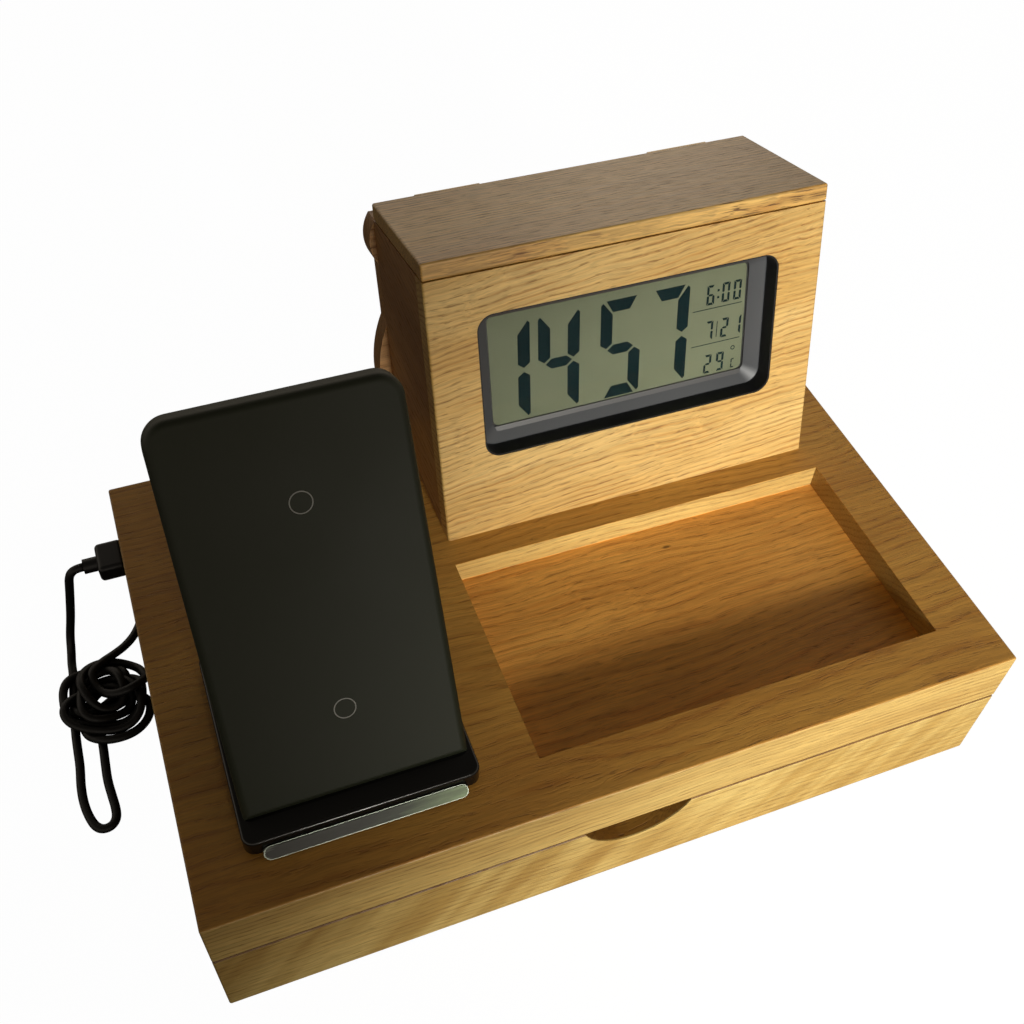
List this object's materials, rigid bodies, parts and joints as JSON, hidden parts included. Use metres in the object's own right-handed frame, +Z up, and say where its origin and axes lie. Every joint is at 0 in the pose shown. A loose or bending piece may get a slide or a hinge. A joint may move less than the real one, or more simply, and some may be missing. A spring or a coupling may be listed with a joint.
{
  "type": "mens valet box with drawer",
  "caption": "Oak desk valet box: drawer with finger pull, coin tray in the top, hinged clock housing, upright phone charging stand and side power lead.",
  "frame": {"origin": "centre of the case's underside, on the felt, midway between its sides and midway between its front and back", "axes": "+Z up, +Y from the drawer front towards the back, +X from the charging stand towards the clock as seen from the front"},
  "size_m": [0.34, 0.2172, 0.1908],
  "materials": {
    "oak": "oiled, satin",
    "inner_wood": "bare, matt",
    "felt": "matt felt",
    "brass": "satin",
    "bezel_metal": "satin",
    "clear_glass": "polished",
    "display": "satin, grey-green",
    "circuit_board": "satin",
    "clock_plastic": "fine texture",
    "cell_case": "satin",
    "contact_steel": "satin",
    "charger_black": "soft matt",
    "charger_gloss": "polished",
    "coil_copper": "enamelled copper wire",
    "ferrite": "matt",
    "rubber": "matt",
    "lip_strip": "polished",
    "socket_body": "matt",
    "cord_black": "satin",
    "plug_black": "satin"
  },
  "bodies": {
    "case": {"top_slab": "oak", "case_side_left": "oak", "case_side_right": "oak", "case_back": "oak", "housing_front": "oak", "housing_side_left": "oak", "housing_side_right": "oak", "housing_back": "oak", "case_bottom": "inner_wood", "runner_left": "inner_wood", "runner_right": "inner_wood", "drawer_stop": "inner_wood", "clock_shelf": "inner_wood", "clock_cleats": "inner_wood", "lead_cover": "inner_wood", "base_felt": "felt", "back_leaf_left": "brass", "back_leaf_right": "brass", "hinge_pins": "brass", "back_hinge_screws": "brass", "clock_bezel": "bezel_metal", "clock_glass": "clear_glass", "lcd_panel": "display", "clock_board": "circuit_board", "charger_board": "circuit_board", "clock_rear_case": "clock_plastic", "clock_cells": "cell_case", "battery_contacts": "contact_steel", "charger_cover": "charger_black", "charger_shell": "charger_black", "charger_foot": "charger_gloss", "charging_coils": "coil_copper", "ferrite_sheet": "ferrite", "charger_feet": "rubber", "charger_lip": "lip_strip", "side_socket": "socket_body", "inner_lead": "cord_black", "lead_drop": "cord_black", "lead_loop": "cord_black", "lead_tail": "cord_black", "lead_bundle": "cord_black", "side_plug": "plug_black", "far_plug": "plug_black"},
    "drawer": {"drawer_front": "oak", "drawer_side_left": "inner_wood", "drawer_side_right": "inner_wood", "drawer_back": "inner_wood", "drawer_bottom": "inner_wood", "drawer_lining": "felt", "drawer_dowels": "inner_wood"},
    "lid": {"housing_lid": "oak", "lid_leaf_left": "brass", "lid_leaf_right": "brass", "lid_hinge_screws": "brass"},
    "battery_door": {"battery_door": "clock_plastic"},
    "button_mode": {"clock_button_mode": "clock_plastic"},
    "button_set": {"clock_button_set": "clock_plastic"},
    "button_up": {"clock_button_up": "clock_plastic"},
    "button_down": {"clock_button_down": "clock_plastic"}
  },
  "joints": [
    {"name": "drawer_slide", "type": "slide", "parent": "case", "child": "drawer", "axis": [0, -1, 0], "range_m": [0, 0.102]},
    {"name": "lid_hinge", "type": "hinge", "parent": "case", "child": "lid", "pos_m": [0.0485, 0.11631, 0.15778], "axis": [-1, 0, 0], "range_deg": [0, 100]},
    {"name": "battery_door_hinge", "type": "hinge", "parent": "case", "child": "battery_door", "pos_m": [0.0485, 0.06456, 0.08996], "axis": [-1, 0, 0], "range_deg": [0, 90]},
    {"name": "button_mode_press", "type": "slide", "parent": "case", "child": "button_mode", "axis": [0, -0.969, 0.247], "range_m": [0, 0.0008], "stiffness_N_per_m": 300},
    {"name": "button_set_press", "type": "slide", "parent": "case", "child": "button_set", "axis": [0, -0.969, 0.247], "range_m": [0, 0.0008], "stiffness_N_per_m": 300},
    {"name": "button_up_press", "type": "slide", "parent": "case", "child": "button_up", "axis": [0, -0.969, 0.247], "range_m": [0, 0.0008], "stiffness_N_per_m": 300},
    {"name": "button_down_press", "type": "slide", "parent": "case", "child": "button_down", "axis": [0, -0.969, 0.247], "range_m": [0, 0.0008], "stiffness_N_per_m": 300}
  ]
}
